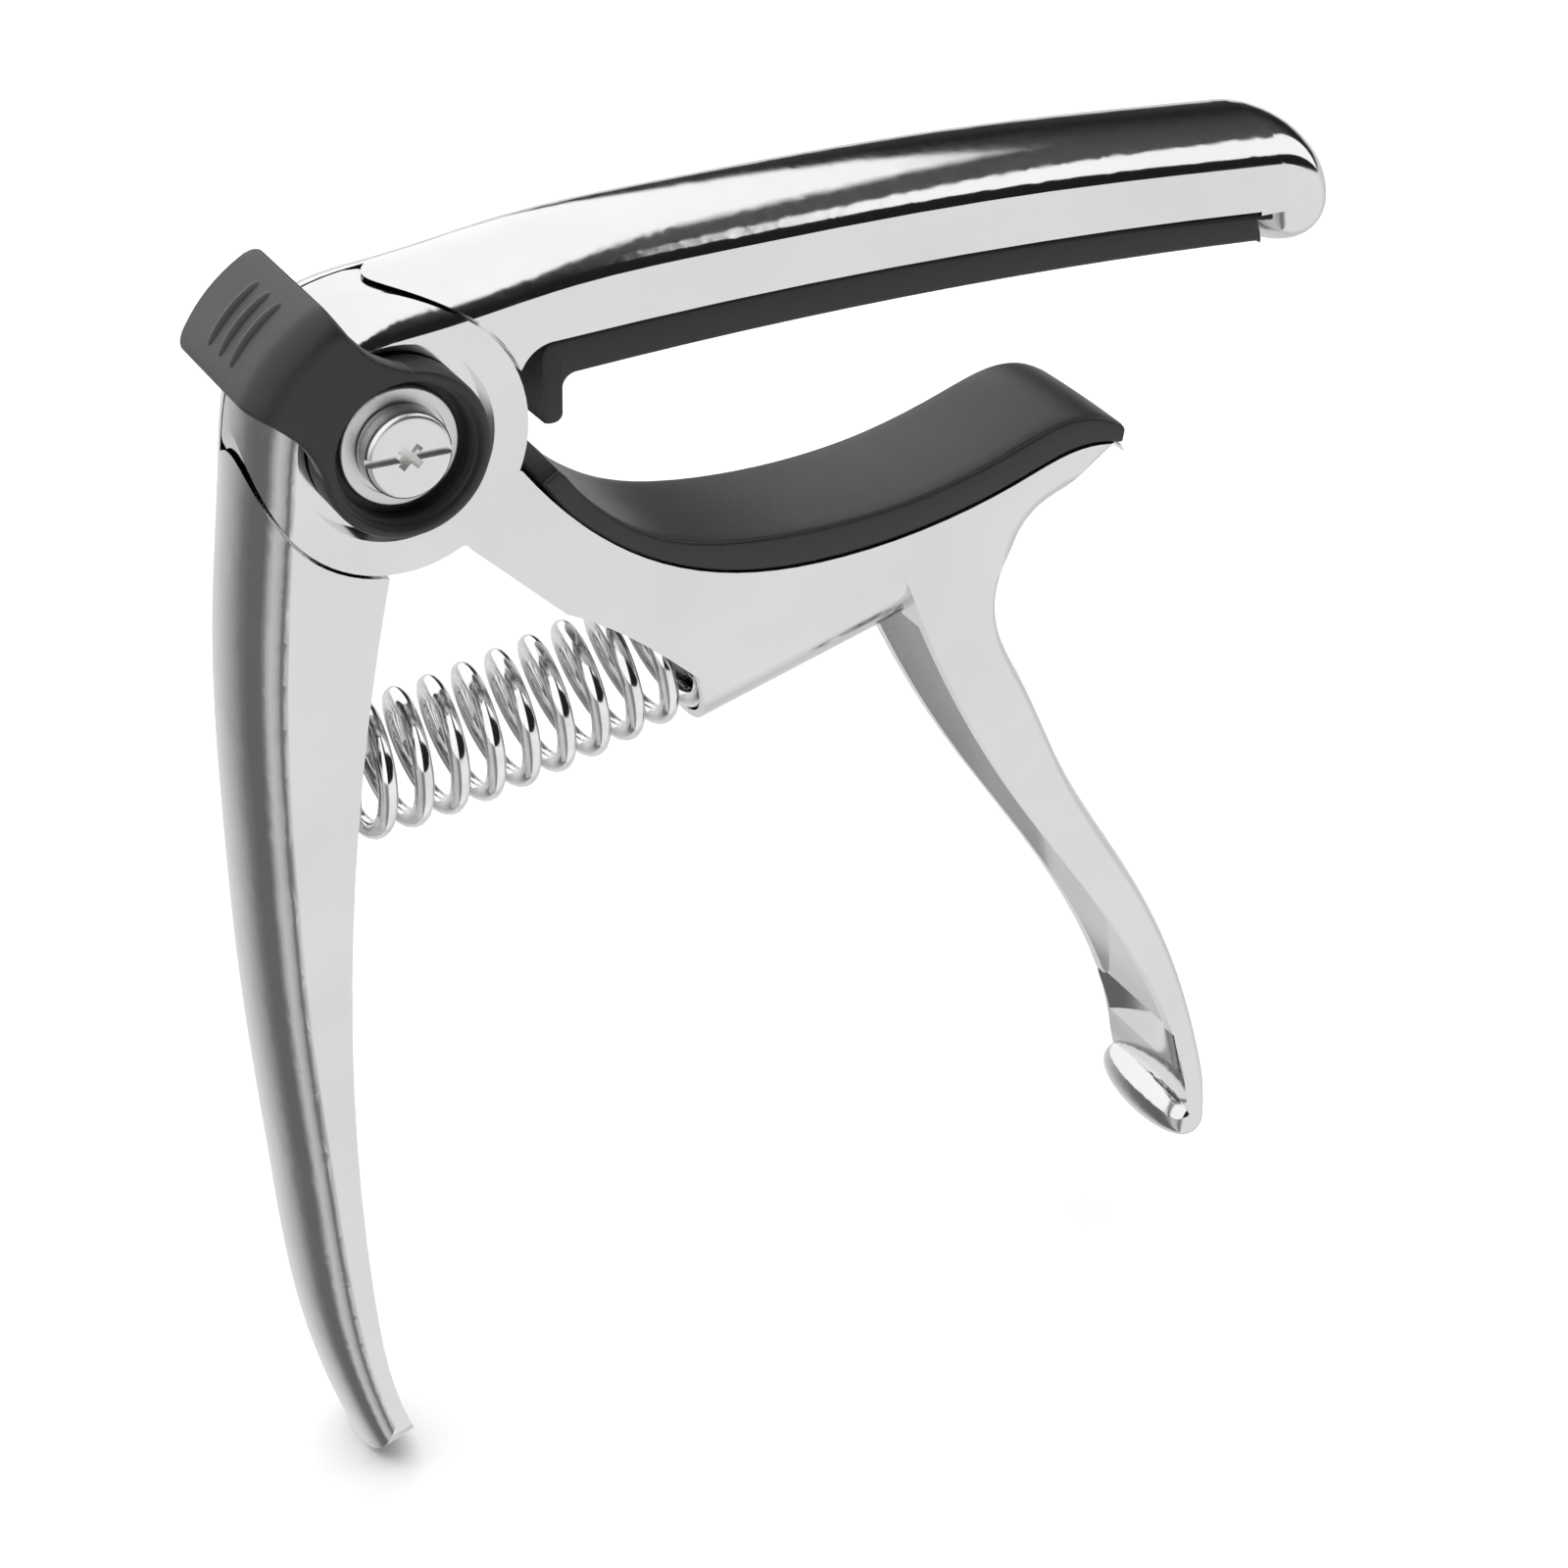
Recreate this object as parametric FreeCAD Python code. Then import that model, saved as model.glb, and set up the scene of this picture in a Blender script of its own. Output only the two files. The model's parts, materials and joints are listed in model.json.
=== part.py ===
import FreeCAD, Part
import math
import os

# Spring-loaded guitar capo: an L-shaped fret lever and a cradle-shaped jaw lever turn on one
# pivot at the corner, and a compression spring between the two handles keeps the jaws closed.
# Frame: +X along the fret arm, +Z up from the handles to the arm, +Y away from the pick-holder
# side. The origin is where the pivot axis meets the flat far side. Millimetres.

os.makedirs("parts", exist_ok=True)
V = FreeCAD.Vector

# ---- driving dimensions -------------------------------------------------------------------
width = 12.2                # both levers, side face to side face
near = -width               # the near side face, far side is y = 0
mid = near / 2
fret_crown = 2.6            # height of the crown across the fret lever's outer surface
jaw_crown = 1.7             # and across the jaw lever's
tip_round = 4.2             # length of the rounding at the end of the fret lever's handle
crown_overlap = 0.005       # the crown meets the side faces at a faint crease
crown_skim = 0.02

# Pivot
hub_radius = 9.6            # round corner of the levers, about the pivot
ear_thickness = 8.1         # jaw lever's ear, from the near side
pocket_radius = 9.85        # pocket in the fret lever that the ear turns in
pocket_floor = -3.75        # its floor, which leaves the far plate behind it
far_clear_radius = 10.0     # jaw arm's clearance round the far plate
recess_radius = 7.1         # shallow recess in the ear, round the pick holder
recess_depth = 1.2
bush_outer = 4.2
bush_inner = 3.06
sleeve_radius = 3.0
sleeve_head_radius = 4.7
sleeve_head_height = 1.4
thread_radius = 2.0
screw_head_radius = 3.12
screw_head_top = near - 2.4
driver_slot_width = 0.55
driver_slot_depth = 0.5
cross_length = 2.0
cup_washer_radius = 4.35
cup_washer_height = 0.6
thrust_washer_radius = 5.4
thin_washer = 0.3
washer_hole = sleeve_radius + 0.1
washer_play = 0.02          # between a plain washer and what it turns against
stop_track_radius = 7.2     # stop pip on the ear's back, in a curved groove in the far plate
stop_pip_radius = 1.0
stop_pip_height = 1.6
stop_rest_angle = 215.0     # degrees, from +X towards +Z
open_angle = 30.0           # the jaw lever's travel
stop_play = 0.4             # degrees left past each end of the travel

# Fret arm, hook and fret pad
pad_inset = 0.12            # pads sit this far inside the side faces
leg_left = 10.8             # stop leg at the pad's inner end
leg_right = 12.25
leg_bottom = -1.05
pad_end = 68.9

# Jaw, spring cup and handles
cup_axis_angle = 16.0       # the cup points down and back to the fret lever's handle
cup_mouth = (22.2, -23.05)
cup_end_x = 38.9
cup_outer = width / 2
cup_bore = 5.45
cup_seat_x = 27.4
wall = 1.3                  # side walls of the hollow handles
tip_crown = 3.6             # deeper crown under the cradle's tip, fading into the handle's
scoop_radius = 13.0

# Spring
wire_radius = 0.73
coil_radius = 4.42          # to the wire's centre
coil_pitch = 2.8
spring_seat_x = -8.7
spring_height = -27.8

# Pick holder
holder_ring_outer = 6.1
holder_ring_hole = 4.95
holder_flange_hole = 3.3
holder_top = near - 2.1
holder_thickness = 1.7
wing_outer = 12.05
wing_thickness = 1.5
wing_half_angle = 21.5
holder_angle = 135.0
wing_end = -0.35
neck_half_width = 3.7


# ---- helpers ------------------------------------------------------------------------------
def on_plane(point, y):
    return V(point[0], y, point[1])


def polar(radius, degrees):
    angle = math.radians(degrees)
    return (radius * math.cos(angle), radius * math.sin(angle))


def smooth(points, leave, arrive):
    # A curve through points that leaves and arrives along the given directions.
    curve = Part.BSplineCurve()
    path = [on_plane(p, near) for p in points]
    curve.interpolate(path, False, 1e-6, on_plane(leave, 0), on_plane(arrive, 0))
    return curve.toShape()


def outline(start, *steps):
    # Closed face in the near side's plane. A step is a point for a straight run, two points
    # for an arc (through, end), a list of points for a curve, or an edge that smooth() made.
    edges = []
    here = start
    for step in steps:
        if isinstance(step, Part.Shape):
            edges.append(step)
            end = step.valueAt(step.LastParameter)
            here = (end.x, end.z)
        elif isinstance(step, list):
            curve = Part.BSplineCurve()
            curve.interpolate([on_plane(p, near) for p in [here] + step])
            edges.append(curve.toShape())
            here = step[-1]
        elif isinstance(step[0], tuple):
            through, end = step
            points = [on_plane(p, near) for p in (here, through, end)]
            edges.append(Part.Arc(*points).toShape())
            here = end
        else:
            edges.append(Part.makeLine(on_plane(here, near), on_plane(step, near)))
            here = step
    if math.dist(here, start) > 1e-6:
        edges.append(Part.makeLine(on_plane(here, near), on_plane(start, near)))
    return Part.Face(Part.Wire(edges))


def slab(face, y_from, y_to):
    moved = face.copy()
    moved.translate(V(0, y_from - near, 0))
    return moved.extrude(V(0, y_to - y_from, 0))


def drum(radius, y_from, y_to, centre=(0, 0)):
    return Part.makeCylinder(radius, y_to - y_from, on_plane(centre, y_from), V(0, 1, 0))


def ring(outer, inner, y_from, y_to):
    return drum(outer, y_from, y_to).cut(drum(inner, y_from, y_to))


def block(x_from, x_to, y_from, y_to, z_from, z_to):
    return Part.makeBox(x_to - x_from, y_to - y_from, z_to - z_from, V(x_from, y_from, z_from))


def crown_section(point, outward, depth):
    # What the crown takes away from a square bar: all that lies outside half an ellipse.
    half = -mid + crown_overlap
    spare = 0.8
    centre = V(point.x, mid, point.z) - outward * (depth + crown_skim)
    across = V(0, 1, 0)
    steps = 12
    curve = Part.BSplineCurve()
    arc = []
    for i in range(steps + 1):
        turn = math.pi * i / steps
        arc.append(centre - across * (half * math.cos(turn)) + outward * (depth * math.sin(turn)))
    curve.interpolate(arc)
    corners = [centre + across * half, centre + across * (half + spare)]
    corners.append(corners[-1] + outward * (depth + spare))
    corners.append(corners[-1] - across * (2 * half + 2 * spare))
    corners.append(centre - across * (half + spare))
    corners.append(centre - across * half)
    edges = [Part.makeLine(p, q) for p, q in zip(corners, corners[1:])]
    return Part.Wire([curve.toShape()] + edges)


def crowned(body, edges, turn, depth):
    # Crowns a body's outer surface along a run of its outline. turn is 1 where the body
    # lies on the left of the run and -1 where it lies on the right.
    first = edges[0]
    along = first.tangentAt(first.FirstParameter)
    outward = V(along.z, 0, -along.x) * turn
    section = crown_section(first.valueAt(first.FirstParameter), outward, depth)
    sweep = Part.BRepOffsetAPI.MakePipeShell(Part.Wire(edges))
    sweep.setBiNormalMode(V(0, 1, 0))
    sweep.add(section, False, False)
    sweep.build()
    sweep.makeSolid()
    return body.cut(sweep.shape())


def solid_of(shape):
    # The largest solid of a result.
    return max(shape.Solids, key=lambda s: s.Volume)


def save(shape, node):
    print(f"{node:16s} valid {shape.isValid()}  solids {len(shape.Solids)}")
    shape.exportStep(f"parts/{node}.step")


# ---- fret lever ---------------------------------------------------------------------------
arm_end = (68.9, 4.65)
hook_start = (68.9, 4.35)
nose = (76.5, 4.35)
arm_top_end = (70.64, 10.635)
handle_tip_start = (-5.98, -85.85)
into_top = (-1.0, 0.07)
into_tip = (0.33, -0.944)


def bend(start, through, end):
    return Part.Arc(*[on_plane(p, near) for p in (start, through, end)]).toShape()


hook_under = bend(hook_start, (72.7, 0.55), nose)
hook_over = bend(nose, (74.808, 8.647), arm_top_end)
back_curve = smooth([arm_top_end, (60.0, 11.38), (48.0, 11.98), (36.0, 12.14), (24.0, 11.98),
                     (12.0, 11.35), (3.0, 10.1), (-2.6, 9.3), (-7.0, 6.85), (-9.4, 1.6),
                     (-10.0, -3.0), (-11.35, -15.0), (-11.8, -30.0), (-11.5, -45.05), (-10.4, -61.1),
                     (-8.78, -75.7), handle_tip_start], into_top, into_tip)
handle_tip = bend(handle_tip_start, (-3.75, -87.35), (-1.75, -85.95))
tip_way = V(into_tip[0], 0, into_tip[1])
tip_corner = on_plane(handle_tip_start, near)
tip_runout = Part.makeLine(tip_corner, tip_corner + tip_way * 5)

fret_lever_outside = [hook_under, hook_over, back_curve, tip_runout]


def fret_lever_body():
    return outline(
        arm_end,
        hook_start,
        hook_under,
        hook_over,
        back_curve,
        handle_tip,
        (-2.1, -84.9),
        [(-4.0, -80), (-5.55, -70), (-6.15, -53), (-5.2, -35), (-3.5, -22), polar(hub_radius, -96)],
        (polar(hub_radius, -38), polar(hub_radius, 20)),
        (9.35, 3.75),
        ((10.35, 4.8), (12.0, 5.22)),
        ((36.0, 5.88), arm_end),
    )


def left_handle_hollow():
    # Long pocket between the handle's side walls, open towards the spring.
    return slab(outline(
        (-6.9, -15.5),
        [(-8.3, -21), (-8.75, -32), (-8.55, -45), (-8.0, -56), (-7.1, -66), (-6.2, -73)],
        (-3.0, -73.6),
        (2.0, -60),
        (2.0, -15.5),
    ), near + wall, -wall)


def thumbnail_end():
    # What rounds the handle's end across its width.
    section = crown_section(V(-7.3, 0, -86.5) + tip_way * 0.6, tip_way, tip_round)
    return Part.Face(section).extrude(V(-tip_way.z, 0, tip_way.x) * 12)


def stop_groove():
    first = stop_rest_angle + stop_play
    last = stop_rest_angle - open_angle - stop_play
    reach = stop_pip_radius + 0.12
    inner = stop_track_radius - reach
    outer = stop_track_radius + reach
    middle = (first + last) / 2
    face = outline(
        polar(inner, first),
        (polar(inner, middle), polar(inner, last)),
        (polar(outer, last)),
        (polar(outer, middle), polar(outer, first)),
    )
    floor = pocket_floor + stop_pip_height
    groove = slab(face, pocket_floor - 0.1, floor)
    for angle in (first, last):
        groove = groove.fuse(drum(reach, pocket_floor - 0.1, floor, polar(stop_track_radius, angle)))
    return groove


def make_fret_lever():
    body = slab(fret_lever_body(), near, 0)
    body = crowned(body, fret_lever_outside, 1, fret_crown)
    body = body.cut(thumbnail_end())
    body = body.cut(drum(pocket_radius, near - 1, pocket_floor))
    body = body.cut(drum(sleeve_radius, near, 1))
    body = body.cut(drum(sleeve_head_radius, -sleeve_head_height, 1))
    body = body.cut(left_handle_hollow())
    seat = Part.makeCylinder(cup_bore, 20, V(spring_seat_x, mid, spring_height), V(1, 0, 0))
    body = body.cut(seat)
    body = body.cut(stop_groove())
    return solid_of(body)


def make_fret_pad():
    face = outline(
        (leg_left, 3.9),
        ((11.15, 4.75), (12.3, 5.2)),
        ((38.0, 5.85), (68.55, 4.42)),
        ((68.9, 3.4), (pad_end + 0.15, 2.15)),
        ((38.0, 3.17), (13.4, 2.42)),
        ((12.6, 2.05), (leg_right, 1.25)),
        (leg_right, leg_bottom + 0.6),
        ((leg_right - 0.18, leg_bottom + 0.18), (leg_right - 0.6, leg_bottom)),
        (leg_left + 0.4, leg_bottom),
        ((leg_left + 0.12, leg_bottom + 0.12), (leg_left, leg_bottom + 0.4)),
    )
    pad = slab(face, near + pad_inset, -pad_inset)
    hook = slab(fret_lever_body(), near, 0)
    return solid_of(pad.cut(hook))


# ---- jaw lever ----------------------------------------------------------------------------
cradle_curve = [(12.0, -7.5), (18.0, -12.4), (25.0, -15.2), (33.0, -15.95), (42.0, -14.95),
                (49.0, -13.0), (53.6, -11.55), (57.6, -11.8)]
shoulder = (9.0, -3.85)
axis_slope = math.tan(math.radians(cup_axis_angle))


def on_cup_axis(x):
    return (x, cup_mouth[1] + (x - cup_mouth[0]) * axis_slope)


def along_cup(x_from, x_to, radius):
    start = on_cup_axis(x_from)
    end = on_cup_axis(x_to)
    length = math.dist(start, end)
    direction = V(end[0] - start[0], 0, end[1] - start[1])
    return Part.makeCylinder(radius, length, on_plane(start, mid), direction)


spine_curve = smooth([(57.95, -12.5), (54.9, -14.75), (51.6, -17.2), (49.3, -19.6), (48.35, -22.6),
                      (48.9, -26.0), (50.9, -30.2), (55.1, -39.3), (62.2, -51.3), (67.7, -63.5),
                      (69.55, -70.0), (70.3, -76.3)], (-0.8, -0.6), (0.0, -1.0))
# The deeper crown under the cradle's tip follows this run, which leaves the outside at both
# ends so that the crown fades away.
cove_curve = smooth([(62.6, -14.2), (59.3, -15.2), (55.45, -15.95), (53.4, -16.55), (51.75, -17.45),
                     (50.35, -20.0), (50.75, -22.6), (53.6, -26.4)], (-0.93, -0.25), (0.7, -0.7))
lip_centre = (67.8, -76.3)
lip_radius = 2.5


def on_lip(degrees):
    x, z = polar(lip_radius, degrees)
    return (lip_centre[0] + x, lip_centre[1] + z)


lip_curve = bend(on_lip(0), on_lip(-128), on_lip(-257))


def jaw_lever_body():
    return outline(
        (4.0, -5.0),
        (5.5, -2.6),
        shoulder,
        cradle_curve,
        (57.95, -12.5),
        spine_curve,
        lip_curve,
        [(65.85, -68.0), (62.9, -61.0), (57.6, -52.0), (49.5, -40.0), (43.0, -28.0), (39.6, -19.6)],
        on_cup_axis(cup_end_x),
        cup_mouth,
        [(20.6, -21.6), (16.5, -18.25), (12.0, -15.55)],
        (5.0, -8.95),
        ((4.4, -8.5), (3.7, -8.8)),
    )


def jaw_pad_face():
    top = [(14.9, -7.9), (20.0, -11.3), (26.0, -12.75), (33.0, -13.1), (42.0, -12.15),
           (49.0, -10.1), (53.4, -8.9), (57.5, -10.0)]
    return outline(
        (10.55, -5.15),
        (11.55, -4.35),
        ((11.9, -4.35), (12.15, -4.6)),
        top,
        ((57.85, -10.3), (57.9, -10.7)),
        (57.85, -11.74),
        (57.6, -11.74),
        list(reversed([(x, z + 0.06) for x, z in cradle_curve[:-1]])),
    )


def ear():
    # A disc that keeps to the fret lever's outer shape where it forms the outer corner.
    envelope = crowned(slab(fret_lever_body(), near, 0), fret_lever_outside, 1, fret_crown)
    return drum(hub_radius, near, near + ear_thickness).common(envelope)


def rear_handle_hollow():
    return slab(outline(
        (40.5, -24.0),
        [(44.9, -24.8), (47.8, -29.5), (53.3, -40.4), (60.2, -52.6), (64.6, -62.5), (65.9, -68.0)],
        (64.0, -68.8),
        (50.0, -60.0),
        (36.0, -30.0),
    ), near + wall, -wall)


def pin_scoop():
    # Shallow hollow behind the lip, where a bridge pin's head is caught.
    return Part.makeCylinder(scoop_radius, 4.6, V(54.35, mid, -69.4), V(0.23, 0, -1))


def make_jaw_lever():
    body = slab(jaw_lever_body(), near, 0)
    body = crowned(body, [spine_curve, lip_curve], -1, jaw_crown)
    body = crowned(body, [cove_curve], -1, tip_crown)
    body = body.cut(drum(hub_radius - 0.5, near - 1, 1))
    body = body.cut(drum(far_clear_radius, near + ear_thickness, 1))
    body = body.fuse(along_cup(cup_mouth[0], cup_end_x + 0.6, cup_outer))
    body = body.cut(slab(jaw_pad_face(), near - 1, 1))
    body = body.fuse(ear())
    body = body.cut(along_cup(cup_mouth[0] - 14, cup_seat_x, cup_bore))
    body = body.cut(rear_handle_hollow())
    body = body.cut(pin_scoop())
    body = body.cut(drum(recess_radius, near - 1, near + recess_depth))
    body = body.cut(drum(bush_outer, near, 0))
    pip_centre = polar(stop_track_radius, stop_rest_angle)
    back = near + ear_thickness
    pip = drum(stop_pip_radius, back - 1, back + stop_pip_height, pip_centre)
    return solid_of(body.fuse(pip))


def make_jaw_pad():
    return solid_of(slab(jaw_pad_face(), near + pad_inset, -pad_inset))


# ---- spring -------------------------------------------------------------------------------
spring_line = [(spring_seat_x, spring_height), (-1.0, spring_height), (6.0, -27.45), (11.5, -26.4),
               (17.0, -24.65), on_cup_axis(22.4), on_cup_axis(cup_seat_x)]


def make_return_spring():
    axis = Part.BSplineCurve()
    axis.interpolate([on_plane(p, mid) for p in spring_line])
    length = axis.length()
    margin = wire_radius + 0.05
    dead = 1.0                      # closed turn at each end
    live_turns = (length - 2 * margin - 2 * dead * 2.1 * wire_radius) / coil_pitch
    turns = live_turns + 2 * dead
    steps_per_turn = 16
    count = round(turns * steps_per_turn)
    points = []
    for i in range(count + 1):
        turn = turns * i / count
        first = min(turn, dead)
        last = max(turn - dead - live_turns, 0)
        live = turn - first - last
        along = margin + (first + last) * 2.1 * wire_radius + live * coil_pitch
        at = axis.parameterAtDistance(along)
        centre = axis.value(at)
        forward = axis.tangent(at)[0]
        up = V(-forward.z, 0, forward.x)
        side = V(0, 1, 0)
        phase = 2 * math.pi * turn
        points.append(centre + up * (coil_radius * math.cos(phase)) + side * (coil_radius * math.sin(phase)))
    helix = Part.BSplineCurve()
    helix.interpolate(points)
    path = Part.Wire(helix.toShape())
    start = helix.value(helix.FirstParameter)
    forward = helix.tangent(helix.FirstParameter)[0]
    section = Part.Wire(Part.makeCircle(wire_radius, start, forward))
    spring = path.makePipeShell([section], True, True)
    return spring


# ---- pivot hardware -----------------------------------------------------------------------
flange_back = near + 0.85           # back of the pick holder's flange
flange_front = near + 0.1
washer_front = flange_front - cup_washer_height


def make_pivot_screw():
    head_back = washer_front
    head = drum(screw_head_radius, screw_head_top, head_back)
    head = head.makeFillet(0.45, [e for e in head.Edges if abs(e.BoundBox.YMax - screw_head_top) < 1e-6])
    shank = drum(thread_radius, head_back - 0.2, near + 10.2)
    screw = head.fuse(shank)
    slot = block(-4, 4, screw_head_top - 1, screw_head_top + driver_slot_depth,
                 -driver_slot_width / 2, driver_slot_width / 2)
    screw = screw.cut(slot)
    arm = cross_length
    for angle in (45, -45):
        cross = block(-arm / 2, arm / 2, screw_head_top - 1, screw_head_top + 1.3, -0.3, 0.3)
        cross.rotate(V(0, 0, 0), V(0, 1, 0), angle)
        screw = screw.cut(cross)
    return solid_of(screw)


def make_sleeve_nut():
    sleeve = drum(sleeve_radius - 0.02, flange_front + 0.3, -0.4)
    head = drum(sleeve_head_radius - 0.05, -sleeve_head_height + 0.02, 0)
    nut = sleeve.fuse(head)
    nut = nut.cut(drum(thread_radius + 0.02, near - 1, near + 10.4))
    slot = block(-6, 6, -0.7, 1, -0.6, 0.6)
    return solid_of(nut.cut(slot))


def make_dished_washer():
    back = flange_front
    body = drum(cup_washer_radius, washer_front, back)
    body = body.makeFillet(0.25, [e for e in body.Edges if abs(e.BoundBox.YMax - washer_front) < 1e-6])
    body = body.cut(drum(screw_head_radius + 0.35, washer_front - 1, washer_front + 0.2))
    body = body.cut(drum(thread_radius + 0.15, near - 3, 0))
    return solid_of(body)


def make_pivot_bush():
    return ring(bush_outer, bush_inner, near + recess_depth, near + ear_thickness)


def make_holder_washer():
    front = flange_back + washer_play
    return ring(holder_ring_outer - 0.3, washer_hole, front, near + recess_depth - washer_play)


def make_thrust_washer():
    front = near + ear_thickness + washer_play
    return ring(thrust_washer_radius, washer_hole, front, front + thin_washer)


# ---- pick holder --------------------------------------------------------------------------
def make_pick_holder():
    base = drum(holder_ring_outer, holder_top, flange_back)
    base = base.makeFillet(0.4, [e for e in base.Edges if abs(e.BoundBox.YMax - holder_top) < 1e-6])
    neck_back = holder_top + holder_thickness
    reach = wing_outer + 2
    neck = block(0, reach, holder_top, neck_back, -neck_half_width, neck_half_width)
    for side in (1, -1):
        flare = Part.Face(Part.Wire([
            Part.makeLine(V(5.0, holder_top, side * 3.4), V(reach, holder_top, side * 3.4)),
            Part.makeLine(V(reach, holder_top, side * 3.4), V(reach, holder_top, side * 5.2)),
            Part.Arc(V(reach, holder_top, side * 5.2), V(8.6, holder_top, side * 3.9),
                     V(5.0, holder_top, side * 4.35)).toShape(),
            Part.makeLine(V(5.0, holder_top, side * 4.35), V(5.0, holder_top, side * 3.4)),
        ]))
        neck = neck.fuse(flare.extrude(V(0, holder_thickness, 0)))
    neck.rotate(V(0, 0, 0), V(0, 1, 0), -holder_angle)
    wing = ring(wing_outer, wing_outer - wing_thickness, holder_top, wing_end)
    sector = slab(outline(
        (0, 0),
        polar(20, holder_angle - wing_half_angle),
        (polar(20, holder_angle), polar(20, holder_angle + wing_half_angle)),
    ), holder_top, wing_end)
    rim = drum(wing_outer, holder_top, wing_end)
    bend = [e for e in rim.Edges if abs(e.BoundBox.YMax - holder_top) < 1e-6]
    rim = rim.makeFillet(2.2, bend)
    wing = wing.fuse(ring(wing_outer - 0.4, wing_outer - 3.2, neck_back - 0.4, neck_back + 0.9))
    arm = neck.fuse(wing.common(sector)).common(rim)
    arm = arm.cut(drum(wing_outer - wing_thickness, neck_back + 1.0, 1))
    holder = base.fuse(arm)
    holder = holder.cut(drum(hub_radius + 0.55, near - 0.35, 0).cut(drum(recess_radius - 0.3, near - 1, 0)))
    holder = holder.cut(drum(holder_ring_hole, holder_top - 1, flange_front))
    holder = holder.cut(drum(holder_ring_hole + 0.45, holder_top - 1, holder_top + 0.55))
    holder = holder.cut(drum(holder_flange_hole, near - 3, 0))
    return solid_of(holder)


save(make_fret_lever(), "fret_lever")
save(make_fret_pad(), "fret_pad")
save(make_jaw_lever(), "jaw_lever")
save(make_jaw_pad(), "jaw_pad")
save(make_return_spring(), "return_spring")
save(make_pivot_screw(), "pivot_screw")
save(make_sleeve_nut(), "sleeve_nut")
save(make_dished_washer(), "dished_washer")
save(make_pick_holder(), "pick_holder")
save(make_pivot_bush(), "pivot_bush")
save(make_holder_washer(), "holder_washer")
save(make_thrust_washer(), "thrust_washer")
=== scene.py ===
import bisect
import json
import math

import bmesh
import bpy
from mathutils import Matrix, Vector
from mathutils.bvhtree import BVHTree


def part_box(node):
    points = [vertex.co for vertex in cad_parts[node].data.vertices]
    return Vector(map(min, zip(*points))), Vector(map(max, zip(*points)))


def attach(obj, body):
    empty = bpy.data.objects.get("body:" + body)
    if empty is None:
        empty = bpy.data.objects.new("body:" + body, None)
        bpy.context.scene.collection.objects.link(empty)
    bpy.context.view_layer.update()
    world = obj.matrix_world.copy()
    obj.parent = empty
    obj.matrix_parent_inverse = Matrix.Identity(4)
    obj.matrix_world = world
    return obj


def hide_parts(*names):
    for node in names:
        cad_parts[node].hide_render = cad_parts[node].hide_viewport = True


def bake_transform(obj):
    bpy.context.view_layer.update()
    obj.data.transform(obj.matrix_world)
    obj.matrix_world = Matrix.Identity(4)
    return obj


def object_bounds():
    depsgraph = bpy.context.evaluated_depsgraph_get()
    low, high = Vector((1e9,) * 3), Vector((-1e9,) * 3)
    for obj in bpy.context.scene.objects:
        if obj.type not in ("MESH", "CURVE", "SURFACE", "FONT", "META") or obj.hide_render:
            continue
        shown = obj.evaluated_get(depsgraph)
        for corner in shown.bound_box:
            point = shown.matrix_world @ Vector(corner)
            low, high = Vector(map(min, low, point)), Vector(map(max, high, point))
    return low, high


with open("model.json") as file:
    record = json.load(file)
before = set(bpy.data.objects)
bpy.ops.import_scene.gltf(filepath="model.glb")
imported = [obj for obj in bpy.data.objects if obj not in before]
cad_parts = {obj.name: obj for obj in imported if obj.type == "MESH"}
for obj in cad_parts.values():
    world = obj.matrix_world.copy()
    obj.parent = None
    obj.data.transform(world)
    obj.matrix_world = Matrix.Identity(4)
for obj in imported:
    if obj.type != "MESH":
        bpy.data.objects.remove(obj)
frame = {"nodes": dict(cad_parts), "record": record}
cadLow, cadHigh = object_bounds()
print("frame loaded")

mm = 0.001
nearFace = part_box("fret_lever")[0].y      # the levers' near side face, towards the camera
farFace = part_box("fret_lever")[1].y
midPlane = (nearFace + farFace) / 2


# Materials are procedural, on Object coordinates.
def newMaterial(name):
    material = bpy.data.materials.new(name)
    material.use_nodes = True
    return material, material.node_tree, material.node_tree.nodes["Principled BSDF"]


def addNode(tree, kind, **settings):
    node = tree.nodes.new(kind)
    for key, value in settings.items():
        if hasattr(node, key):
            setattr(node, key, value)
        else:
            node.inputs[key.replace("_", " ")].default_value = value
    return node


def objectCoords(tree, scale=(1, 1, 1), turn=(0, 0, 0)):
    coords = tree.nodes.new("ShaderNodeTexCoord")
    mapping = tree.nodes.new("ShaderNodeMapping")
    mapping.inputs["Scale"].default_value = scale
    mapping.inputs["Rotation"].default_value = turn
    tree.links.new(coords.outputs["Object"], mapping.inputs["Vector"])
    return mapping.outputs["Vector"]


def noise(tree, vector, scale, detail=4.0, roughness=0.55):
    node = addNode(tree, "ShaderNodeTexNoise",
                   Scale=scale, Detail=detail, Roughness=roughness)
    tree.links.new(vector, node.inputs["Vector"])
    return node.outputs["Fac"]


def spread(tree, value, low, high, fromLow=0.3, fromHigh=0.7):
    node = tree.nodes.new("ShaderNodeMapRange")
    for key, number in (("From Min", fromLow), ("From Max", fromHigh),
                        ("To Min", low), ("To Max", high)):
        node.inputs[key].default_value = number
    tree.links.new(value, node.inputs["Value"])
    return node.outputs["Result"]


def colours(tree, value, first, second):
    ramp = tree.nodes.new("ShaderNodeValToRGB")
    for mark, at, colour in zip(ramp.color_ramp.elements, (0.3, 0.7), (first, second)):
        mark.position = at
        mark.color = (*colour, 1)
    tree.links.new(value, ramp.inputs["Fac"])
    return ramp.outputs["Color"]


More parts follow.
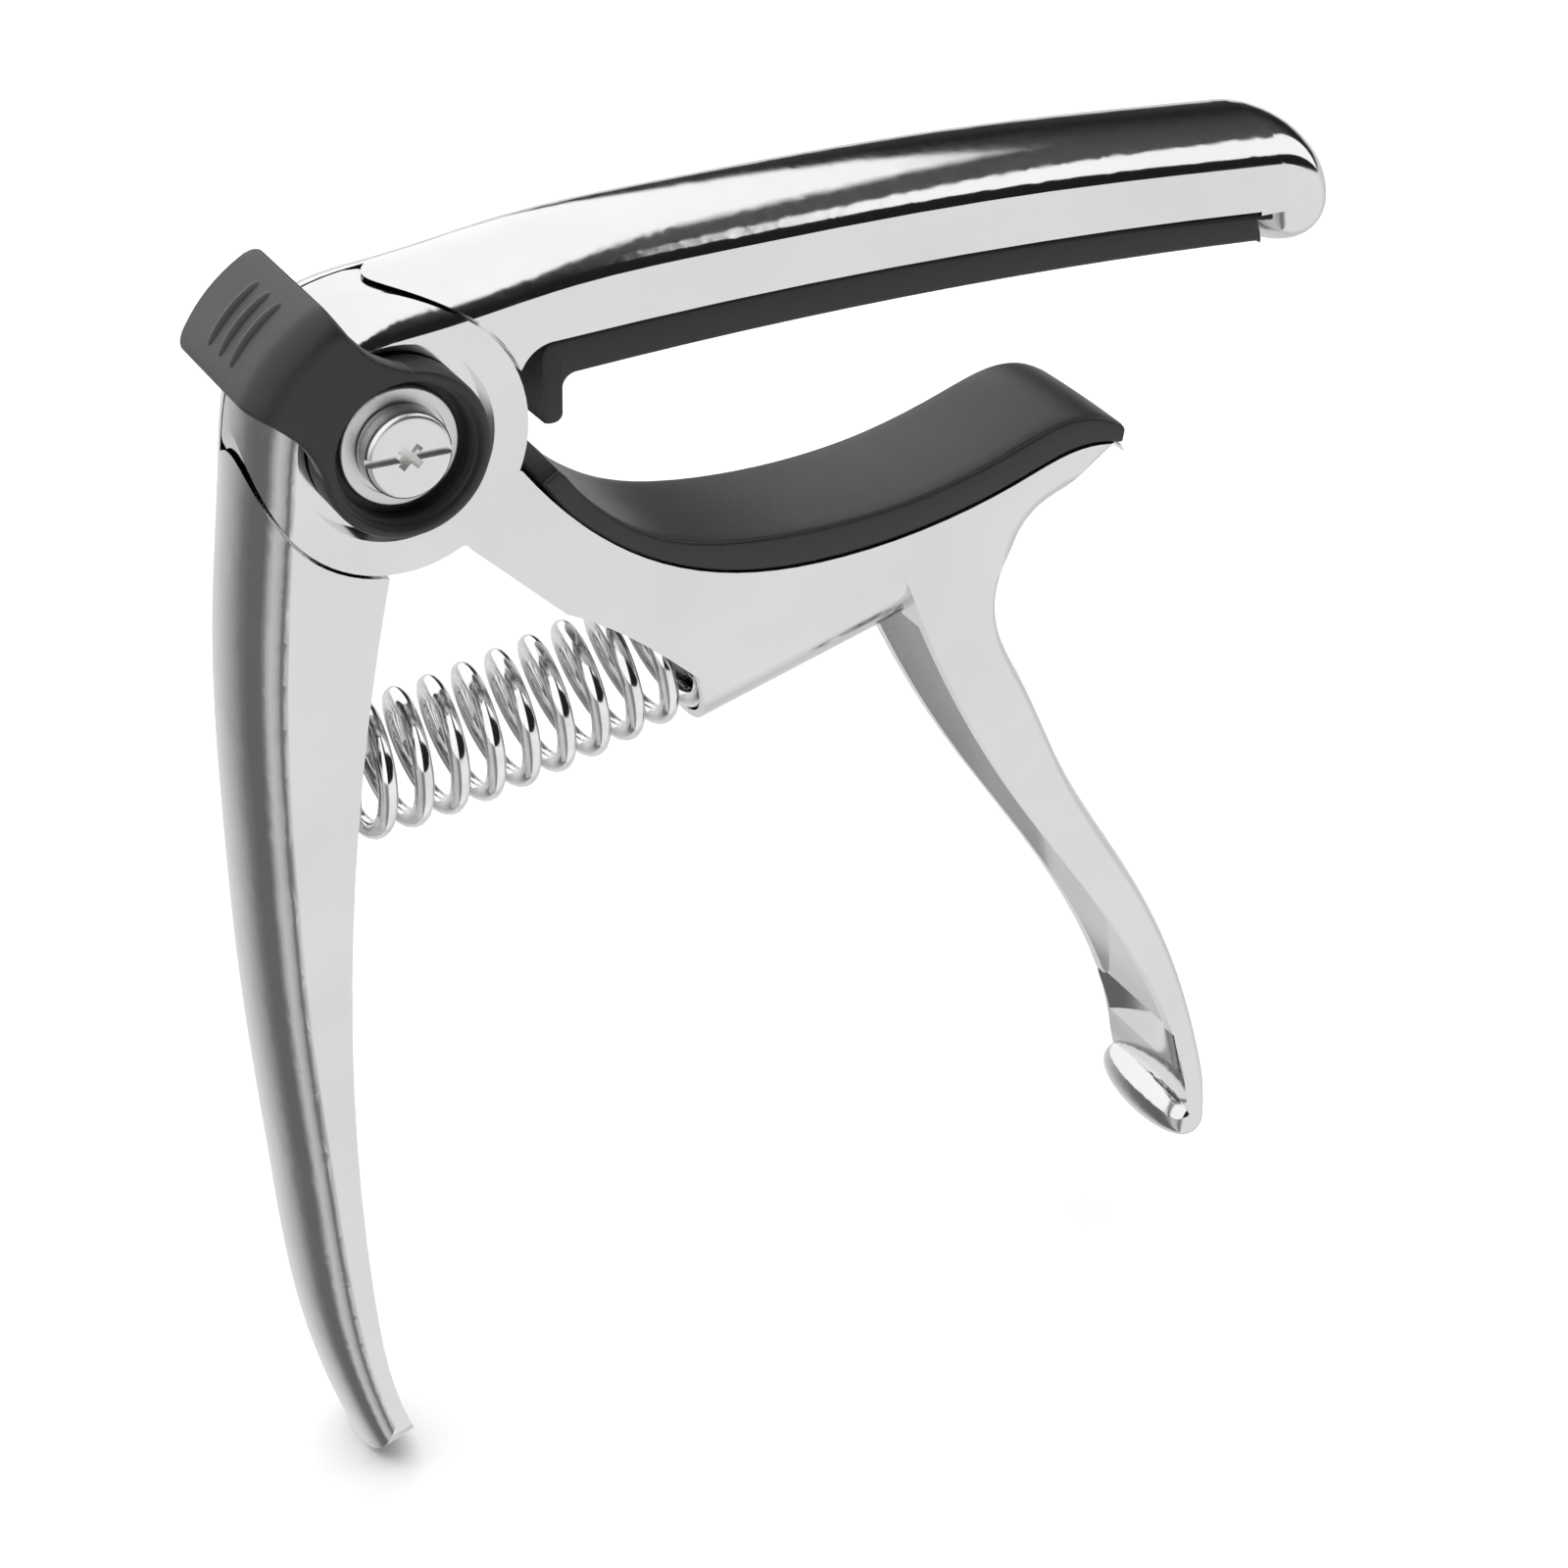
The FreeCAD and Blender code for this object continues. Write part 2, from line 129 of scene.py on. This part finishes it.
def bump(tree, shader, height, strength, distance, under=None):
    node = addNode(tree, "ShaderNodeBump", Strength=strength, Distance=distance)
    tree.links.new(height, node.inputs["Height"])
    if under is not None:
        tree.links.new(under, node.inputs["Normal"])
    tree.links.new(node.outputs["Normal"], shader.inputs["Normal"])
    return node.outputs["Normal"]


platedLook = {
    "light": (0.74, 0.735, 0.73),
    "dark": (0.69, 0.69, 0.69),
    "rough": (0.07, 0.12),
    "cloudScale": 90,
    "hazeScale": 1400,
    "ripple": (160, 0.008, 0.0004),     # scale, strength, depth in metres
    "grain": (3500, 0.03, 0.00003),
}


def platedCasting(name, look=platedLook):
    # Satin plating over a die casting: soft cloudiness, polishing haze and a trace of grain.
    material, tree, shader = newMaterial(name)
    here = objectCoords(tree)
    cloud = noise(tree, here, look["cloudScale"], 3)
    haze = noise(tree, here, look["hazeScale"], 5)
    tree.links.new(colours(tree, cloud, look["dark"], look["light"]), shader.inputs["Base Color"])
    tree.links.new(spread(tree, haze, *look["rough"]), shader.inputs["Roughness"])
    shader.inputs["Metallic"].default_value = 1.0
    scale, strength, depth = look["ripple"]
    rippled = bump(tree, shader, noise(tree, here, scale, 2), strength, depth)
    scale, strength, depth = look["grain"]
    bump(tree, shader, noise(tree, here, scale, 3), strength, depth, rippled)
    return material


def rubber(name, light, dark, rough, grain=2600, sheen=0.1):
    # Moulded rubber: fine spark-eroded grain and faint patches of bloom.
    material, tree, shader = newMaterial(name)
    here = objectCoords(tree)
    cloud = noise(tree, here, 120, 4)
    fine = noise(tree, here, grain, 3)
    tree.links.new(colours(tree, cloud, dark, light), shader.inputs["Base Color"])
    tree.links.new(spread(tree, cloud, rough - 0.05, rough + 0.06), shader.inputs["Roughness"])
    shader.inputs["Sheen Weight"].default_value = sheen
    shader.inputs["Specular IOR Level"].default_value = 0.45
    bump(tree, shader, fine, 0.25, 0.00006)
    return material


def turnedSteel(name, light, dark, roughLow, roughHigh):
    # Turned and plated steel: rings about the pivot, broken up by noise.
    material, tree, shader = newMaterial(name)
    here = objectCoords(tree)
    rings = addNode(tree, "ShaderNodeTexWave", wave_type="RINGS", rings_direction="Y",
                    Scale=1500.0, Distortion=1.5)
    tree.links.new(here, rings.inputs["Vector"])
    cloud = noise(tree, here, 700, 4)
    tree.links.new(colours(tree, cloud, dark, light), shader.inputs["Base Color"])
    tree.links.new(spread(tree, cloud, roughLow, roughHigh), shader.inputs["Roughness"])
    shader.inputs["Metallic"].default_value = 1.0
    bump(tree, shader, rings.outputs["Fac"], 0.03, 0.00002)
    return material


def drawnWire(name, light, dark):
    # Bright drawn wire with faint scuffs.
    material, tree, shader = newMaterial(name)
    here = objectCoords(tree)
    cloud = noise(tree, here, 500, 3)
    tree.links.new(colours(tree, cloud, dark, light), shader.inputs["Base Color"])
    tree.links.new(spread(tree, noise(tree, here, 2200, 4), 0.06, 0.14), shader.inputs["Roughness"])
    shader.inputs["Metallic"].default_value = 1.0
    bump(tree, shader, noise(tree, here, 3000, 3), 0.06, 0.00003)
    return material


casting = platedCasting("platedCasting")
padRubber = rubber("padRubber", (0.016, 0.016, 0.017), (0.011, 0.011, 0.012), 0.5)
jawRubber = rubber("jawRubber", (0.02, 0.02, 0.021), (0.015, 0.015, 0.016), 0.4)
holderRubber = rubber("holderRubber", (0.02, 0.02, 0.021), (0.014, 0.014, 0.015), 0.42)
screwSteel = turnedSteel("screwSteel", (0.8, 0.8, 0.79), (0.74, 0.74, 0.73), 0.26, 0.34)
washerSteel = turnedSteel("washerSteel", (0.74, 0.74, 0.73), (0.68, 0.68, 0.67), 0.34, 0.42)
slipPlastic = rubber("slipPlastic", (0.06, 0.06, 0.06), (0.04, 0.04, 0.04), 0.5, sheen=0.0)
springSteel = drawnWire("springSteel", (0.86, 0.86, 0.86), (0.74, 0.74, 0.75))

nodeLooks = {
    "fret_lever": casting,
    "jaw_lever": casting,
    "fret_pad": padRubber,
    "jaw_pad": jawRubber,
    "pick_holder": holderRubber,
    "pivot_screw": screwSteel,
    "sleeve_nut": screwSteel,
    "dished_washer": washerSteel,
    "thrust_washer": washerSteel,
    "holder_washer": slipPlastic,
    "pivot_bush": slipPlastic,
    "return_spring": springSteel,
}
for node, look in nodeLooks.items():
    for slotOfNode in frame["nodes"][node].material_slots:
        slotOfNode.material = look
print("materials done")


# Helpers that build the new pieces.
def softBox(halfWide, low, high, corner, steps=4, across=10):
    # A rounded rectangle as (across, height) points, counter-clockwise.
    corner = min(corner, halfWide * 0.9, (high - low) * 0.45)
    flat = halfWide - corner
    points = []
    for index, (side, level) in enumerate(((1, high), (-1, high), (-1, low), (1, low))):
        for step in range(steps + 1):
            turn = math.radians(90 * index + 90 * step / steps)
            height = level - corner * (1 if level == high else -1) + corner * math.sin(turn)
            points.append((side * flat + corner * math.cos(turn), height))
        if index in (0, 2):
            for step in range(1, across):
                points.append((side * flat * (1 - 2 * step / across), level))
    return points


def loft(bm, loops):
    # Skins closed loops of equal length and caps both ends. An even loop is capped with strips
    # from its upper to its lower half, so that a curved end stays hollow where it should.
    rows = [[bm.verts.new(point) for point in loop] for loop in loops]
    count = len(rows[0])
    for first, second in zip(rows, rows[1:]):
        for i in range(count):
            j = (i + 1) % count
            bm.faces.new((first[i], first[j], second[j], second[i]))
    for row in (rows[0], rows[-1]):
        if count % 2:
            bm.faces.new(row)
            continue
        for i in range(count // 2 - 1):
            bm.faces.new((row[i], row[i + 1], row[count - 2 - i], row[count - 1 - i]))


def finishPiece(name, bm, material, sharpness=38):
    bmesh.ops.recalc_face_normals(bm, faces=bm.faces)
    limit = math.radians(sharpness)
    for face in bm.faces:
        face.smooth = True
    for edge in bm.edges:
        if len(edge.link_faces) == 2 and edge.calc_face_angle() > limit:
            edge.smooth = False
    mesh = bpy.data.meshes.new(name)
    bm.to_mesh(mesh)
    bm.free()
    mesh.materials.append(material)
    piece = bpy.data.objects.new(name, mesh)
    bpy.context.collection.objects.link(piece)
    return piece


def between(stops, value):
    # Straight-line reading of a list of (at, amount) stops.
    for (at, amount), (nextAt, nextAmount) in zip(stops, stops[1:]):
        if value <= nextAt:
            share = (value - at) / (nextAt - at)
            return amount + (nextAmount - amount) * max(share, 0)
    return stops[-1][1]


def heightsOf(node, places):
    # The CAD solid's bottom and top over each place along X, on the middle plane.
    solid = frame["nodes"][node]
    tree = BVHTree.FromObject(solid, bpy.context.evaluated_depsgraph_get())
    toNode = solid.matrix_world.inverted()
    clear = 0.2                 # metres, well past the object
    heights = []
    for x in places:
        pair = []
        for side in (-1, 1):
            start = toNode @ Vector((x, midPlane, side * clear))
            hit = tree.ray_cast(start, toNode.to_3x3() @ Vector((0, 0, -side)))[0]
            pair.append((solid.matrix_world @ hit).z)
        heights.append(pair)
    return heights


# Both rubber pads follow the CAD solid's top and bottom.
pads = {
    "corner": 0.35 * mm,        # rounding of the long edges
    "endInset": 0.6,            # share of the corner that the end faces shrink by
    "cushion": 0.12 * mm,       # how much the working face sinks towards the sides
    "nearEnds": [0.004, 0.02, 0.12, 0.3],   # extra places, as shares of the fine length
    "jawFine": 1.2 * mm,
    "jawCount": 72,
    "stopLeg": 3.4 * mm,        # the fret pad's leg next to the hub, which needs close places
    "legFine": 0.5 * mm,
    "legCount": 60,
    "fretFine": 1.0 * mm,
    "fretCount": 50,
}


def makePad(name, node, places, body, material, cushionTop):
    low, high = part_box(node)
    halfWide = (high.y - low.y) / 2
    heights = heightsOf(node, places)
    bm = bmesh.new()
    loops = []
    for index, (x, (bottom, top)) in enumerate(zip(places, heights)):
        inset = pads["corner"] * pads["endInset"] if index in (0, len(places) - 1) else 0
        ring = softBox(halfWide - inset, bottom + inset, top - inset, pads["corner"])
        loop = []
        for across, height in ring:
            sink = pads["cushion"] * (across / halfWide) ** 2
            if cushionTop and height > (top + bottom) / 2:
                height -= sink
            if not cushionTop and height < (top + bottom) / 2:
                height += sink
            loop.append((x, midPlane + across, height))
        loops.append(loop)
    loft(bm, loops)
    pad = finishPiece(name, bm, material)
    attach(pad, body)
    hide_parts(node)


def spacedPlaces(low, high, fine, count):
    # Places from low to high, with extra ones close to each end.
    near = pads["nearEnds"]
    inner = [low + fine + (high - low - 2 * fine) * i / count for i in range(count + 1)]
    return [low + fine * n for n in near] + inner + [high - fine * n for n in reversed(near)]


def makeJawPad():
    low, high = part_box("jaw_pad")
    places = spacedPlaces(low.x, high.x, pads["jawFine"], pads["jawCount"])
    makePad("jawPad", "jaw_pad", places, "jaw_body", jawRubber, True)


def makeFretPad():
    low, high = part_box("fret_pad")
    extra = len(pads["nearEnds"])
    legEnd = low.x + pads["stopLeg"]
    leg = spacedPlaces(low.x, legEnd, pads["legFine"], pads["legCount"])[:-extra]
    rest = spacedPlaces(legEnd, high.x, pads["fretFine"], pads["fretCount"])[extra:]
    makePad("fretPad", "fret_pad", leg + rest, "fret_body", padRubber, False)


# The ring lies round the pivot; the neck bends into the wing.
holder = {
    "ringOuter": 6.1 * mm,
    "ringHole": 4.95 * mm,
    "ringDepth": 0.85 * mm,     # how far the ring goes into the ear's recess
    "ringEdge": 0.4 * mm,       # rounding of its outer edge
    "ringSteps": 96,
    "floorHole": 3.3 * mm,      # hole in the ring's thin floor, for the sleeve
    "floorTop": 0.1 * mm,
    # The hole's stepped mouth, from its front, as (out from the hole, back from the front).
    "mouth": [(0.42, 0.08), (0.36, 0.3), (0.3, 0.55), (0.1, 0.62), (0, 0.95)],
    "mouthWide": 0.55 * mm,
    "thickness": 1.7 * mm,
    "wingThickness": 1.5 * mm,
    "wingOuter": 12.05 * mm,
    "bendRadius": 2.2 * mm,
    "direction": 135.0,         # degrees from +X towards +Z
    "cornerRound": 0.7 * mm,
    "edge": 0.4 * mm,           # rounding of the neck's and the wing's long edges
    "overlap": 0.002 * mm,      # the neck stands this much proud of the ring
    "neckRows": 18,
    "bendRows": 10,
    "wingRows": 24,
    "wingEase": 1.5,            # rows lie closer towards the wing's end
}
# Half width of the neck in degrees against its distance from the pivot, in millimetres.
neckSpread = [(5.3, 60), (5.9, 55), (6.1, 50), (6.3, 44), (6.7, 37.5), (7.3, 31.8), (8.1, 27.6),
              (9.0, 25.0), (9.85, 23.2), (11.0, 22.2), (12.05, 21.5)]
ribs = {
    "count": 3,
    "first": 3.2,               # millimetres behind the levers' near face
    "spacing": 2.1,
    "halfTurn": 13,             # degrees to each side
    "height": 0.28 * mm,
    "sunk": 0.3 * mm,           # how deep a rib's foot lies in the wing
    "rows": 24,
    "fade": 0.35,               # a smaller number keeps the height further out
    "endHeight": 0.02,
    # Half of the section, as (millimetres along the pivot's axis, share of the height).
    "section": [(-0.5, 0), (-0.38, 0.7), (-0.2, 0.96), (0, 1)],
}


def aroundPivot(radius, degrees, y):
    turn = math.radians(degrees)
    return (radius * math.cos(turn), y, radius * math.sin(turn))


def lathe(bm, profile, steps):
    # Closed (radius, y) profile turned round the pivot.
    verts = [bm.verts.new((radius, y, 0)) for radius, y in profile]
    edges = [bm.edges.new(pair) for pair in zip(verts, verts[1:] + verts[:1])]
    bmesh.ops.spin(bm, geom=verts + edges, cent=(0, 0, 0), axis=(0, -1, 0),
                   angle=math.tau, steps=steps, use_merge=True)


def ringProfile(front):
    hole, outer, edge = holder["ringHole"], holder["ringOuter"], holder["ringEdge"]
    ringBack = nearFace + holder["ringDepth"]
    floorTop = nearFace + holder["floorTop"]
    profile = [(hole + holder["mouthWide"], front), (outer - edge, front)]
    for degrees in (22, 45, 68, 90):
        turn = math.radians(degrees)
        profile.append((outer - edge + edge * math.sin(turn), front + edge - edge * math.cos(turn)))
    profile += [(outer, ringBack), (holder["floorHole"], ringBack),
                (holder["floorHole"], floorTop), (hole, floorTop)]
    profile += [(hole + out * mm, front + back * mm) for out, back in reversed(holder["mouth"])]
    return profile


def holderPath(front, back):
    # (radius, y, outward r, outward y, thickness) along the neck, round the bend, down the wing.
    path = []
    neckStart = neckSpread[0][0] * mm
    bend = holder["bendRadius"]
    neckEnd = holder["wingOuter"] - bend
    for i in range(holder["neckRows"] + 1):
        share = i / holder["neckRows"]
        path.append((neckStart + (neckEnd - neckStart) * share, front, 0, -1, holder["thickness"]))
    for i in range(1, holder["bendRows"] + 1):
        turn = math.pi / 2 * i / holder["bendRows"]
        path.append((neckEnd + bend * math.sin(turn), front + bend * (1 - math.cos(turn)),
                     math.sin(turn), -math.cos(turn), holder["wingThickness"]))
    start = path[-1][1]
    for i in range(1, holder["wingRows"] + 1):
        share = 1 - (1 - i / holder["wingRows"]) ** holder["wingEase"]
        path.append((holder["wingOuter"], start + (back - start) * share, 1, 0,
                     holder["wingThickness"]))
    return path


def addNeckAndWing(bm, front, back):
    loops = []
    corner = holder["cornerRound"]
    for radius, y, outR, outY, thick in holderPath(front, back):
        width = math.radians(between(neckSpread, radius / mm)) * radius
        toEnd = back - y
        if toEnd < corner:
            width -= corner - math.sqrt(max(corner * corner - (corner - toEnd) ** 2, 0))
        loop = []
        for across, height in softBox(width, -thick, 0, holder["edge"]):
            degrees = holder["direction"] + math.degrees(across / radius)
            loop.append(aroundPivot(radius + outR * height, degrees, y + outY * height))
        loops.append(loop)
    loft(bm, loops)


def addRib(bm, y):
    # A plain grip rib across the wing's outside.
    foot = holder["wingOuter"] - ribs["sunk"]
    section = ribs["section"] + [(-along, share) for along, share in reversed(ribs["section"][:-1])]
    loops = []
    for j in range(ribs["rows"] + 1):
        share = j / ribs["rows"]
        degrees = holder["direction"] + ribs["halfTurn"] * (2 * share - 1)
        fade = ribs["endHeight"]
        if 0 < j < ribs["rows"]:
            fade = math.sin(math.pi * share) ** ribs["fade"]
        tall = ribs["height"] * fade + ribs["sunk"]
        loops.append([aroundPivot(foot + tall * part, degrees, y + along * mm)
                      for along, part in section])
    loft(bm, loops)


def makePickHolder():
    low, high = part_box("pick_holder")
    bm = bmesh.new()
    lathe(bm, ringProfile(low.y), holder["ringSteps"])
    addNeckAndWing(bm, low.y - holder["overlap"], high.y)
    for i in range(ribs["count"]):
        addRib(bm, nearFace + (ribs["first"] + ribs["spacing"] * i) * mm)
    piece = finishPiece("pickHolder", bm, holderRubber)
    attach(piece, "fret_body")
    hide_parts("pick_holder")


# The spring leaves the fret lever level and meets the jaw's leaning cup.
coil = {
    "wire": 0.72 * mm,          # wire's radius
    "pitch": 2.8 * mm,
    "cupTilt": 16.0,            # degrees that the jaw's cup leans
    "reach": 0.36,              # how far each end runs straight on, as a share of the length
    "closedPitch": 2.1,         # pitch of the two closed end turns, in wire radii
    "endGap": 0.05 * mm,        # room between the wire and its seats
    "aroundWire": 14,
    "perTurn": 40,
    "axisMarks": 400,           # pieces that the curved axis is measured in
}


def makeSpring():
    low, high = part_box("return_spring")
    squashed = frame["record"]["behaviour"]["joints"][0]["deforming_nodes"][0]
    seatHeight = squashed["fixed_end_z_m"]
    radius = (high.y - low.y) / 2 - coil["wire"]
    tilt = math.radians(coil["cupTilt"])
    outer = radius + coil["wire"]
    start = Vector((low.x, midPlane, seatHeight))
    end = Vector((high.x - outer * math.sin(tilt), midPlane, high.z - outer * math.cos(tilt)))
    reach = (end - start).length * coil["reach"]
    pull = Vector((math.cos(tilt), 0, math.sin(tilt)))
    near, far = start + Vector((reach, 0, 0)), end - pull * reach
    last = coil["axisMarks"]

    def onAxis(t):
        s = 1 - t
        return start * s ** 3 + near * 3 * s * s * t + far * 3 * s * t * t + end * t ** 3

    marks = [onAxis(i / last) for i in range(last + 1)]
    lengths = [0.0]
    for first, second in zip(marks, marks[1:]):
        lengths.append(lengths[-1] + (second - first).length)

    def alongAxis(distance):
        index = max(min(bisect.bisect_left(lengths, distance), last), 1)
        before, after = marks[index - 1], marks[index]
        share = (distance - lengths[index - 1]) / (lengths[index] - lengths[index - 1])
        return before.lerp(after, share), (after - before).normalized()

    closed = coil["closedPitch"] * coil["wire"]
    edge = coil["wire"] + coil["endGap"]
    live = (lengths[-1] - 2 * edge - 2 * closed) / coil["pitch"]
    turns = live + 2
    count = int(turns * coil["perTurn"])
    line = []
    for i in range(count + 1):
        turn = turns * i / count
        dead = min(turn, 1) + max(turn - 1 - live, 0)
        centre, ahead = alongAxis(edge + dead * closed + (turn - dead) * coil["pitch"])
        phase = 2 * math.pi * turn
        up = Vector((-ahead.z, 0, ahead.x))
        aside = Vector((0, radius * math.sin(phase), 0))
        line.append(centre + up * (radius * math.cos(phase)) + aside)
    bm = bmesh.new()
    loops = []
    for i, spot in enumerate(line):
        ahead = (line[min(i + 1, count)] - line[max(i - 1, 0)]).normalized()
        centre = alongAxis(edge + (lengths[-1] - 2 * edge) * i / count)[0]
        outward = spot - centre
        outward = (outward - ahead * outward.dot(ahead)).normalized()
        sideways = ahead.cross(outward)
        loop = []
        for j in range(coil["aroundWire"]):
            turn = 2 * math.pi * j / coil["aroundWire"]
            away = outward * math.cos(turn) + sideways * math.sin(turn)
            loop.append(spot + away * coil["wire"])
        loops.append(loop)
    loft(bm, loops)
    piece = finishPiece("springCoil", bm, springSteel, 60)
    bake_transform(piece)
    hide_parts("return_spring")


makeJawPad()
makeFretPad()
makePickHolder()
makeSpring()
print("pieces done")


# Floor, light and camera.
studio = {
    "floorSize": 3.0,
    "floorDrop": 0.0003,         # metres below the object's lowest point
    "dome": 2.2,                 # brightness of the big soft light overhead
    "domeTilt": 15.5,            # degrees that the light leans back, behind the object
    "domeHalf": 55.5,            # its half width, in degrees
    "domeEdge": 0.025,           # softness of its rim
    "tableEdge": 0.04,           # softness of the horizon
    "room": (0.006, 0.05),       # the dark room round it, low down and high up
    "azimuth": -27.2,
    "elevation": 29.3,
    "lens": 85.5,
    "cameraSpot": (-0.08167, -0.2279, 0.10246),
}
# What bright metal mirrors from below the table's edge, as (degrees round from +X, brightness).
tableSides = [(-180, 0.5), (-168, 0.68), (-155, 0.62), (-136, 0.44), (-125, 0.22), (-114, 0.24),
              (-104, 0.6), (-95, 0.97), (-20, 0.98), (25, 0.7), (78, 0.78), (95, 0.77),
              (108, 0.66), (121, 0.47), (135, 0.22), (145, 0.165), (166, 0.165), (174, 0.3),
              (180, 0.5)]
# What it mirrors from above: two soft boxes in a dark room. Angles are degrees back from straight
# up, and a slant is how many more degrees an edge moves per unit of the direction's x.
darkRoom = [(-90, 0.015), (-30, 0.02), (0, 0.08), (24, 0.08), (50, 0.05), (70, 0.012),
            (90, 0.05)]
boxes = {
    "brightness": 1.25,
    "slantFrom": 0.425,             # the direction's x where the angles below hold
    "backNear": (23, 32, 170),      # from, to, slant
    "backFar": (68, 63, -230),
    "backSide": (0.56, 0.47),
    "frontFar": (-6, -12, 140),
    "frontNear": (-45, -40, 0),
    "frontSide": (0.33, 0.43),
}


def makeFloor():
    mesh = bpy.data.meshes.new("floor")
    bm = bmesh.new()
    bmesh.ops.create_grid(bm, x_segments=1, y_segments=1, size=studio["floorSize"] / 2)
    bmesh.ops.translate(bm, vec=(0, 0, cadLow.z - studio["floorDrop"]), verts=bm.verts)
    bm.to_mesh(mesh)
    bm.free()
    floor = bpy.data.objects.new("floor", mesh)
    bpy.context.collection.objects.link(floor)
    material, tree, shader = newMaterial("floorPaint")
    cloud = noise(tree, objectCoords(tree), 6, 2)
    paint = colours(tree, cloud, (0.9, 0.9, 0.9), (0.92, 0.92, 0.92))
    tree.links.new(paint, shader.inputs["Base Color"])
    shader.inputs["Roughness"].default_value = 0.8
    mesh.materials.append(material)
    floor.visible_glossy = False


def worldRamp(tree, value, stops):
    ramp = tree.nodes.new("ShaderNodeValToRGB")
    marks = ramp.color_ramp.elements
    marks[0].position, marks[1].position = stops[0][0], stops[-1][0]
    marks[0].color = (*[stops[0][1]] * 3, 1)
    marks[1].color = (*[stops[-1][1]] * 3, 1)
    for at, level in stops[1:-1]:
        marks.new(at).color = (level, level, level, 1)
    tree.links.new(value, ramp.inputs["Fac"])
    return ramp.outputs["Color"]


def blendColours(tree, factor, first, second):
    mix = addNode(tree, "ShaderNodeMix", data_type="RGBA")
    tree.links.new(factor, mix.inputs["Factor"])
    tree.links.new(first, mix.inputs["A"])
    tree.links.new(second, mix.inputs["B"])
    return mix.outputs["Result"]


def calculate(tree, operation, first, second):
    node = addNode(tree, "ShaderNodeMath", operation=operation)
    tree.links.new(first, node.inputs[0])
    tree.links.new(second, node.inputs[1])
    return node.outputs["Value"]


def makeWorld():
    world = bpy.data.worlds.new("studio")
    bpy.context.scene.world = world
    world.use_nodes = True
    tree = world.node_tree
    coords = tree.nodes.new("ShaderNodeTexCoord").outputs["Generated"]
    split = tree.nodes.new("ShaderNodeSeparateXYZ")
    tree.links.new(coords, split.inputs["Vector"])
    height = split.outputs["Z"]
    tilt = math.radians(studio["domeTilt"])
    toDome = addNode(tree, "ShaderNodeVectorMath", operation="DOT_PRODUCT")
    tree.links.new(coords, toDome.inputs[0])
    toDome.inputs[1].default_value = (0, math.sin(tilt), math.cos(tilt))
    rim = math.cos(math.radians(studio["domeHalf"]))
    soft = studio["domeEdge"]
    inDome = spread(tree, toDome.outputs["Value"], 0, 1, rim - soft, rim + soft)
    dome = worldRamp(tree, inDome, [(0, studio["dome"]), (1, studio["dome"])])
    room = worldRamp(tree, height, [(0, studio["room"][0]), (0.5, studio["room"][1])])
    around = addNode(tree, "ShaderNodeTexGradient", gradient_type="RADIAL")
    tree.links.new(coords, around.inputs["Vector"])
    table = worldRamp(tree, around.outputs["Fac"],
                      [((turn + 180) / 360, level) for turn, level in tableSides])
    above = blendColours(tree, inDome, room, dome)
    lean = addNode(tree, "ShaderNodeMath", operation="ARCTAN2")
    tree.links.new(split.outputs["Y"], lean.inputs[0])
    tree.links.new(height, lean.inputs[1])
    leanShare = spread(tree, lean.outputs["Value"], 0, 1, -math.pi / 2, math.pi / 2)
    darkness = worldRamp(tree, leanShare,
                         [((turn + 90) / 180, level) for turn, level in darkRoom])
    sideways = split.outputs["X"]
    masks = []
    for box in ("back", "front"):
        masks.append(spread(tree, sideways, 0, 1, *boxes[box + "Side"]))
        for edge in ("Near", "Far"):
            first, last, slant = boxes[box + edge]
            bent = addNode(tree, "ShaderNodeMath", operation="MULTIPLY_ADD")
            bent.inputs[1].default_value = -math.radians(slant)
            bent.inputs[2].default_value = math.radians(slant) * boxes["slantFrom"]
            tree.links.new(sideways, bent.inputs[0])
            total = calculate(tree, "ADD", lean.outputs["Value"], bent.outputs["Value"])
            inside = spread(tree, total, 0, 1, math.radians(first), math.radians(last))
            masks[-1] = calculate(tree, "MULTIPLY", masks[-1], inside)
    lit = calculate(tree, "ADD", *masks)
    glow = worldRamp(tree, lit, [(0, boxes["brightness"]), (1, boxes["brightness"])])
    mirrored = blendColours(tree, lit, darkness, glow)
    path = tree.nodes.new("ShaderNodeLightPath")
    above = blendColours(tree, path.outputs["Is Glossy Ray"], above, mirrored)
    isTable = spread(tree, height, 1, 0, -studio["tableEdge"], 0.0)
    everything = blendColours(tree, isTable, above, table)
    tree.links.new(everything, tree.nodes["Background"].inputs["Color"])


def makeCamera():
    data = bpy.data.cameras.new("camera")
    data.sensor_width = 36
    data.lens = studio["lens"]
    data.clip_start, data.clip_end = 0.01, 20
    camera = bpy.data.objects.new("camera", data)
    bpy.context.collection.objects.link(camera)
    turn, tilt = math.radians(studio["azimuth"]), math.radians(studio["elevation"])
    back = Vector((math.sin(turn) * math.cos(tilt), -math.cos(turn) * math.cos(tilt),
                   math.sin(tilt)))
    camera.location = Vector(studio["cameraSpot"])
    camera.rotation_mode = "QUATERNION"
    camera.rotation_quaternion = (-back).to_track_quat("-Z", "Y")
    bpy.context.scene.camera = camera


makeFloor()
makeWorld()
makeCamera()
bpy.context.scene.view_settings.view_transform = "Standard"
print("studio done")

bpy.context.view_layer.update()
